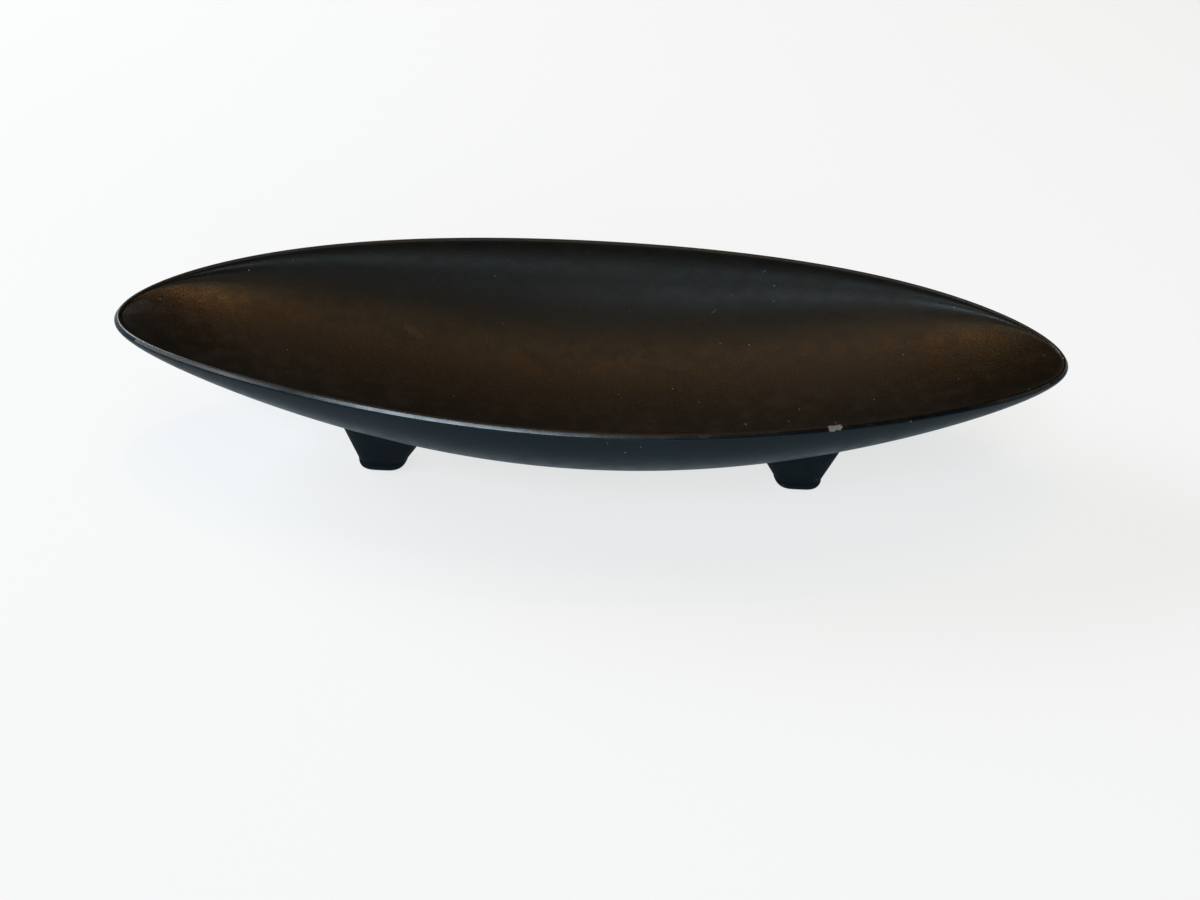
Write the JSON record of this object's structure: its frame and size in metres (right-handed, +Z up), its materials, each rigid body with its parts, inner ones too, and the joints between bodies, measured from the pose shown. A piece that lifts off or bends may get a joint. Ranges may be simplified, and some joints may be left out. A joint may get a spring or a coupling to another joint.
{
  "type": "ikebana suiban",
  "caption": "Shallow boat-shaped flower basin of satin black glazed stoneware with pointed ends and a thin rounded lip, standing on stubby tapering feet.",
  "frame": {"origin": "on the table under the middle of the basin, at the bottom centre of the whole object", "axes": "+X along the basin from tip to tip, +Y across it towards its far side, +Z up"},
  "size_m": [0.4, 0.14, 0.0577],
  "materials": {
    "black_glaze": "satin"
  },
  "bodies": {
    "root": {"bowl": "black_glaze", "foot_front_left": "black_glaze", "foot_front_right": "black_glaze", "foot_rear_left": "black_glaze", "foot_rear_right": "black_glaze"}
  },
  "joints": []
}
